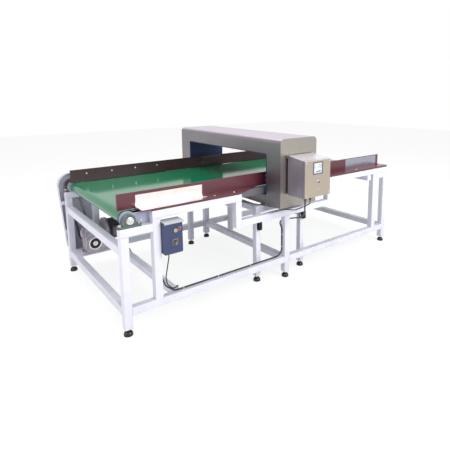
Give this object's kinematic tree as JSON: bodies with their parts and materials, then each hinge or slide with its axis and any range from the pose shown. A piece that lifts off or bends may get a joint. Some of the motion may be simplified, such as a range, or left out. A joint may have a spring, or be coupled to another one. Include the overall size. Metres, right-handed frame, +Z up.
{
  "type": "conveyor metal detector",
  "caption": "Flat-belt conveyor that carries goods through the rectangular opening of a metal detector head standing on its own table.",
  "frame": {"origin": "on the floor, at the middle of the machine's footprint", "axes": "+X along the belt from its drive end to its tail, +Y across it from the operator's side to the chain drive's side, +Z up"},
  "size_m": [2.64, 1.635, 1.114],
  "materials": {
    "frame_paint": "semi-gloss",
    "foot_plastic": "matte",
    "zinc_steel": "satin",
    "belt_green": "satin",
    "drum_steel": "satin",
    "shaft_steel": "turned",
    "chain_steel": "oiled",
    "bearing_cast": "painted",
    "plate_paint": "semi-gloss",
    "bed_steel": "satin",
    "bed_board": "matte",
    "guard_maroon": "gloss",
    "cover_steel": "polished",
    "head_stainless": "brushed",
    "liner_blue": "matte",
    "coil_copper": "bare",
    "pad_rubber": "matte",
    "box_stainless": "brushed",
    "display_glass": "gloss",
    "button_grey": "matte",
    "lamp_red": "gloss",
    "board_green": "matte",
    "bracket_steel": "satin",
    "guard_grey": "semi-gloss",
    "gearbox_grey": "cast",
    "seal_rubber": "matte",
    "motor_paint": "semi-gloss",
    "switch_blue": "satin",
    "trim_grey": "matte",
    "start_green": "gloss",
    "stop_red": "gloss",
    "knob_black": "satin",
    "hood_grey": "semi-gloss",
    "coupler_black": "matte",
    "cable_black": "matte",
    "gland_black": "matte",
    "tie_white": "matte"
  },
  "bodies": {
    "machine": {"frame_near": "frame_paint", "frame_far": "frame_paint", "cross_rails": "frame_paint", "detector_stand": "frame_paint", "foot_pads": "foot_plastic", "foot_stems": "zinc_steel", "belt": "belt_green", "pillow_blocks": "bearing_cast", "drive_side_plates": "plate_paint", "roller_axles": "shaft_steel", "tail_side_plates": "plate_paint", "takeup_blocks": "bearing_cast", "steel_beds": "bed_steel", "middle_bed": "bed_board", "infeed_guard_near": "guard_maroon", "infeed_guard_far": "guard_maroon", "outfeed_guard_near": "guard_maroon", "outfeed_guard_far": "guard_maroon", "guard_packers": "guard_maroon", "guard_cover_plates": "cover_steel", "head_shell": "head_stainless", "aperture_liner": "liner_blue", "search_coils": "coil_copper", "head_pads": "pad_rubber", "control_box": "box_stainless", "control_cover": "box_stainless", "display": "display_glass", "panel_lamp": "lamp_red", "circuit_board": "board_green", "box_brackets": "bracket_steel", "drive_chain": "chain_steel", "chain_guard": "guard_grey", "gearbox_housing": "gearbox_grey", "gearbox_seals": "seal_rubber", "motor_plate": "frame_paint", "motor_body": "motor_paint", "motor_covers": "motor_paint", "switch_box": "switch_blue", "switch_trim": "trim_grey", "switch_hood": "hood_grey", "cable_couplers": "coupler_black", "supply_cables": "cable_black", "signal_lead": "cable_black", "motor_lead": "cable_black", "cable_glands": "gland_black", "cable_ties": "tie_white", "fasteners": "zinc_steel"},
    "drive": {"drive_drum": "drum_steel", "drive_shaft": "shaft_steel", "drive_sprocket": "chain_steel"},
    "output": {"output_shaft": "shaft_steel", "output_sprocket": "chain_steel"},
    "tail": {"tail_drum": "drum_steel"},
    "infeed_roller": {"infeed_return_roller": "drum_steel"},
    "outfeed_roller": {"outfeed_return_roller": "drum_steel"},
    "panel_button": {"panel_button": "button_grey"},
    "start_button": {"start_button": "start_green"},
    "stop_button": {"stop_button": "stop_red"},
    "speed_knob": {"speed_knob": "knob_black"}
  },
  "joints": [
    {"name": "drive_spin", "type": "hinge", "parent": "machine", "child": "drive", "pos_m": [-1.218, 0.0955, 0.7067], "axis": [0, 1, 0], "continuous": true},
    {"name": "output_spin", "type": "hinge", "parent": "machine", "child": "output", "pos_m": [-1.138, 0.5955, 0.26946], "axis": [0, 1, 0], "continuous": true},
    {"name": "tail_spin", "type": "hinge", "parent": "machine", "child": "tail", "pos_m": [1.211, 0.0955, 0.7067], "axis": [0, 1, 0], "continuous": true},
    {"name": "infeed_roller_spin", "type": "hinge", "parent": "machine", "child": "infeed_roller", "pos_m": [-1.133, 0.0955, 0.6857], "axis": [0, 1, 0], "continuous": true},
    {"name": "outfeed_roller_spin", "type": "hinge", "parent": "machine", "child": "outfeed_roller", "pos_m": [1.126, 0.0955, 0.6857], "axis": [0, 1, 0], "continuous": true},
    {"name": "panel_button_press", "type": "slide", "parent": "machine", "child": "panel_button", "axis": [0, 1, 0], "range_m": [0, 0.003], "stiffness_N_per_m": 400},
    {"name": "start_button_press", "type": "slide", "parent": "machine", "child": "start_button", "axis": [0, 1, 0], "range_m": [0, 0.004], "stiffness_N_per_m": 500},
    {"name": "stop_button_press", "type": "slide", "parent": "machine", "child": "stop_button", "axis": [0, 1, 0], "range_m": [0, 0.004], "stiffness_N_per_m": 500},
    {"name": "speed_knob_turn", "type": "hinge", "parent": "machine", "child": "speed_knob", "pos_m": [-0.958, -0.5545, 0.532], "axis": [0, 1, 0], "range_deg": [0, 300]}
  ],
  "couplings": [
    {"joint": "output_spin", "follows": "drive_spin", "ratio": 1},
    {"joint": "tail_spin", "follows": "drive_spin", "ratio": 1},
    {"joint": "infeed_roller_spin", "follows": "drive_spin", "ratio": -1.6881},
    {"joint": "outfeed_roller_spin", "follows": "drive_spin", "ratio": -1.6881}
  ]
}
